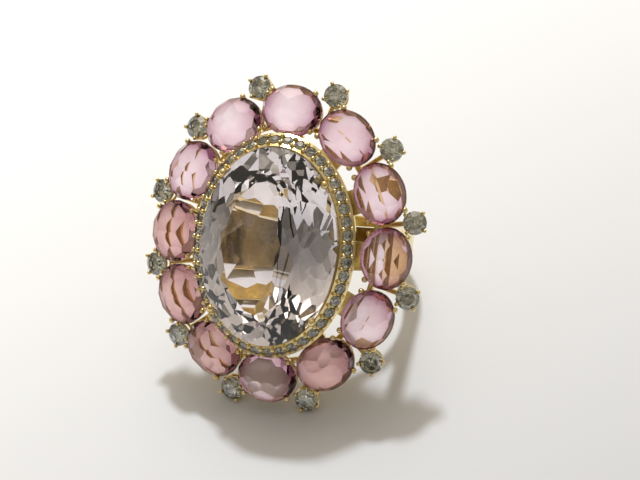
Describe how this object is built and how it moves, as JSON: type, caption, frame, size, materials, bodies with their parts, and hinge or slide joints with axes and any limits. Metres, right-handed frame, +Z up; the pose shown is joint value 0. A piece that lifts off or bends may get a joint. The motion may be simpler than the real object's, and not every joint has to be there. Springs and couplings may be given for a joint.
{
  "type": "cocktail ring",
  "caption": "Cocktail ring with a large oval centre stone in a pave collar, a halo of oval stones edged with small round stones, and a plain gold shank.",
  "frame": {"origin": "centre of the finger bore", "axes": "+Z up and X across the finger, with the ring lying back on a table as pictured: it rests on the two lowest round settings and on the back edge of the shank. The finger axis leans back from vertical in the YZ plane, and the stones face -Y and up."},
  "size_m": [0.0284, 0.0275, 0.0263],
  "materials": {
    "gold": "polished yellow gold",
    "center_gem": "faceted, pale lilac-pink transparent stone",
    "oval_gem": "faceted, pink transparent stone",
    "diamond": "faceted, near-colourless transparent stone"
  },
  "bodies": {
    "root": {"center_stone": "center_gem", "center_prongs": "gold", "pave_collar": "gold", "pave_stones": "diamond", "under_rail": "gold", "gallery_rail": "gold", "shank": "gold", "oval_stone_01": "oval_gem", "oval_basket_01": "gold", "round_stone_01": "diamond", "round_basket_01": "gold", "oval_stone_02": "oval_gem", "oval_basket_02": "gold", "round_stone_02": "diamond", "round_basket_02": "gold", "oval_stone_03": "oval_gem", "oval_basket_03": "gold", "round_stone_03": "diamond", "round_basket_03": "gold", "oval_stone_04": "oval_gem", "oval_basket_04": "gold", "round_stone_04": "diamond", "round_basket_04": "gold", "oval_stone_05": "oval_gem", "oval_basket_05": "gold", "round_stone_05": "diamond", "round_basket_05": "gold", "oval_stone_06": "oval_gem", "oval_basket_06": "gold", "round_stone_06": "diamond", "round_basket_06": "gold", "oval_stone_07": "oval_gem", "oval_basket_07": "gold", "round_stone_07": "diamond", "round_basket_07": "gold", "oval_stone_08": "oval_gem", "oval_basket_08": "gold", "round_stone_08": "diamond", "round_basket_08": "gold", "oval_stone_09": "oval_gem", "oval_basket_09": "gold", "round_stone_09": "diamond", "round_basket_09": "gold", "oval_stone_10": "oval_gem", "oval_basket_10": "gold", "round_stone_10": "diamond", "round_basket_10": "gold", "oval_stone_11": "oval_gem", "oval_basket_11": "gold", "round_stone_11": "diamond", "round_basket_11": "gold", "oval_stone_12": "oval_gem", "oval_basket_12": "gold", "round_stone_12": "diamond", "round_basket_12": "gold"}
  },
  "joints": []
}
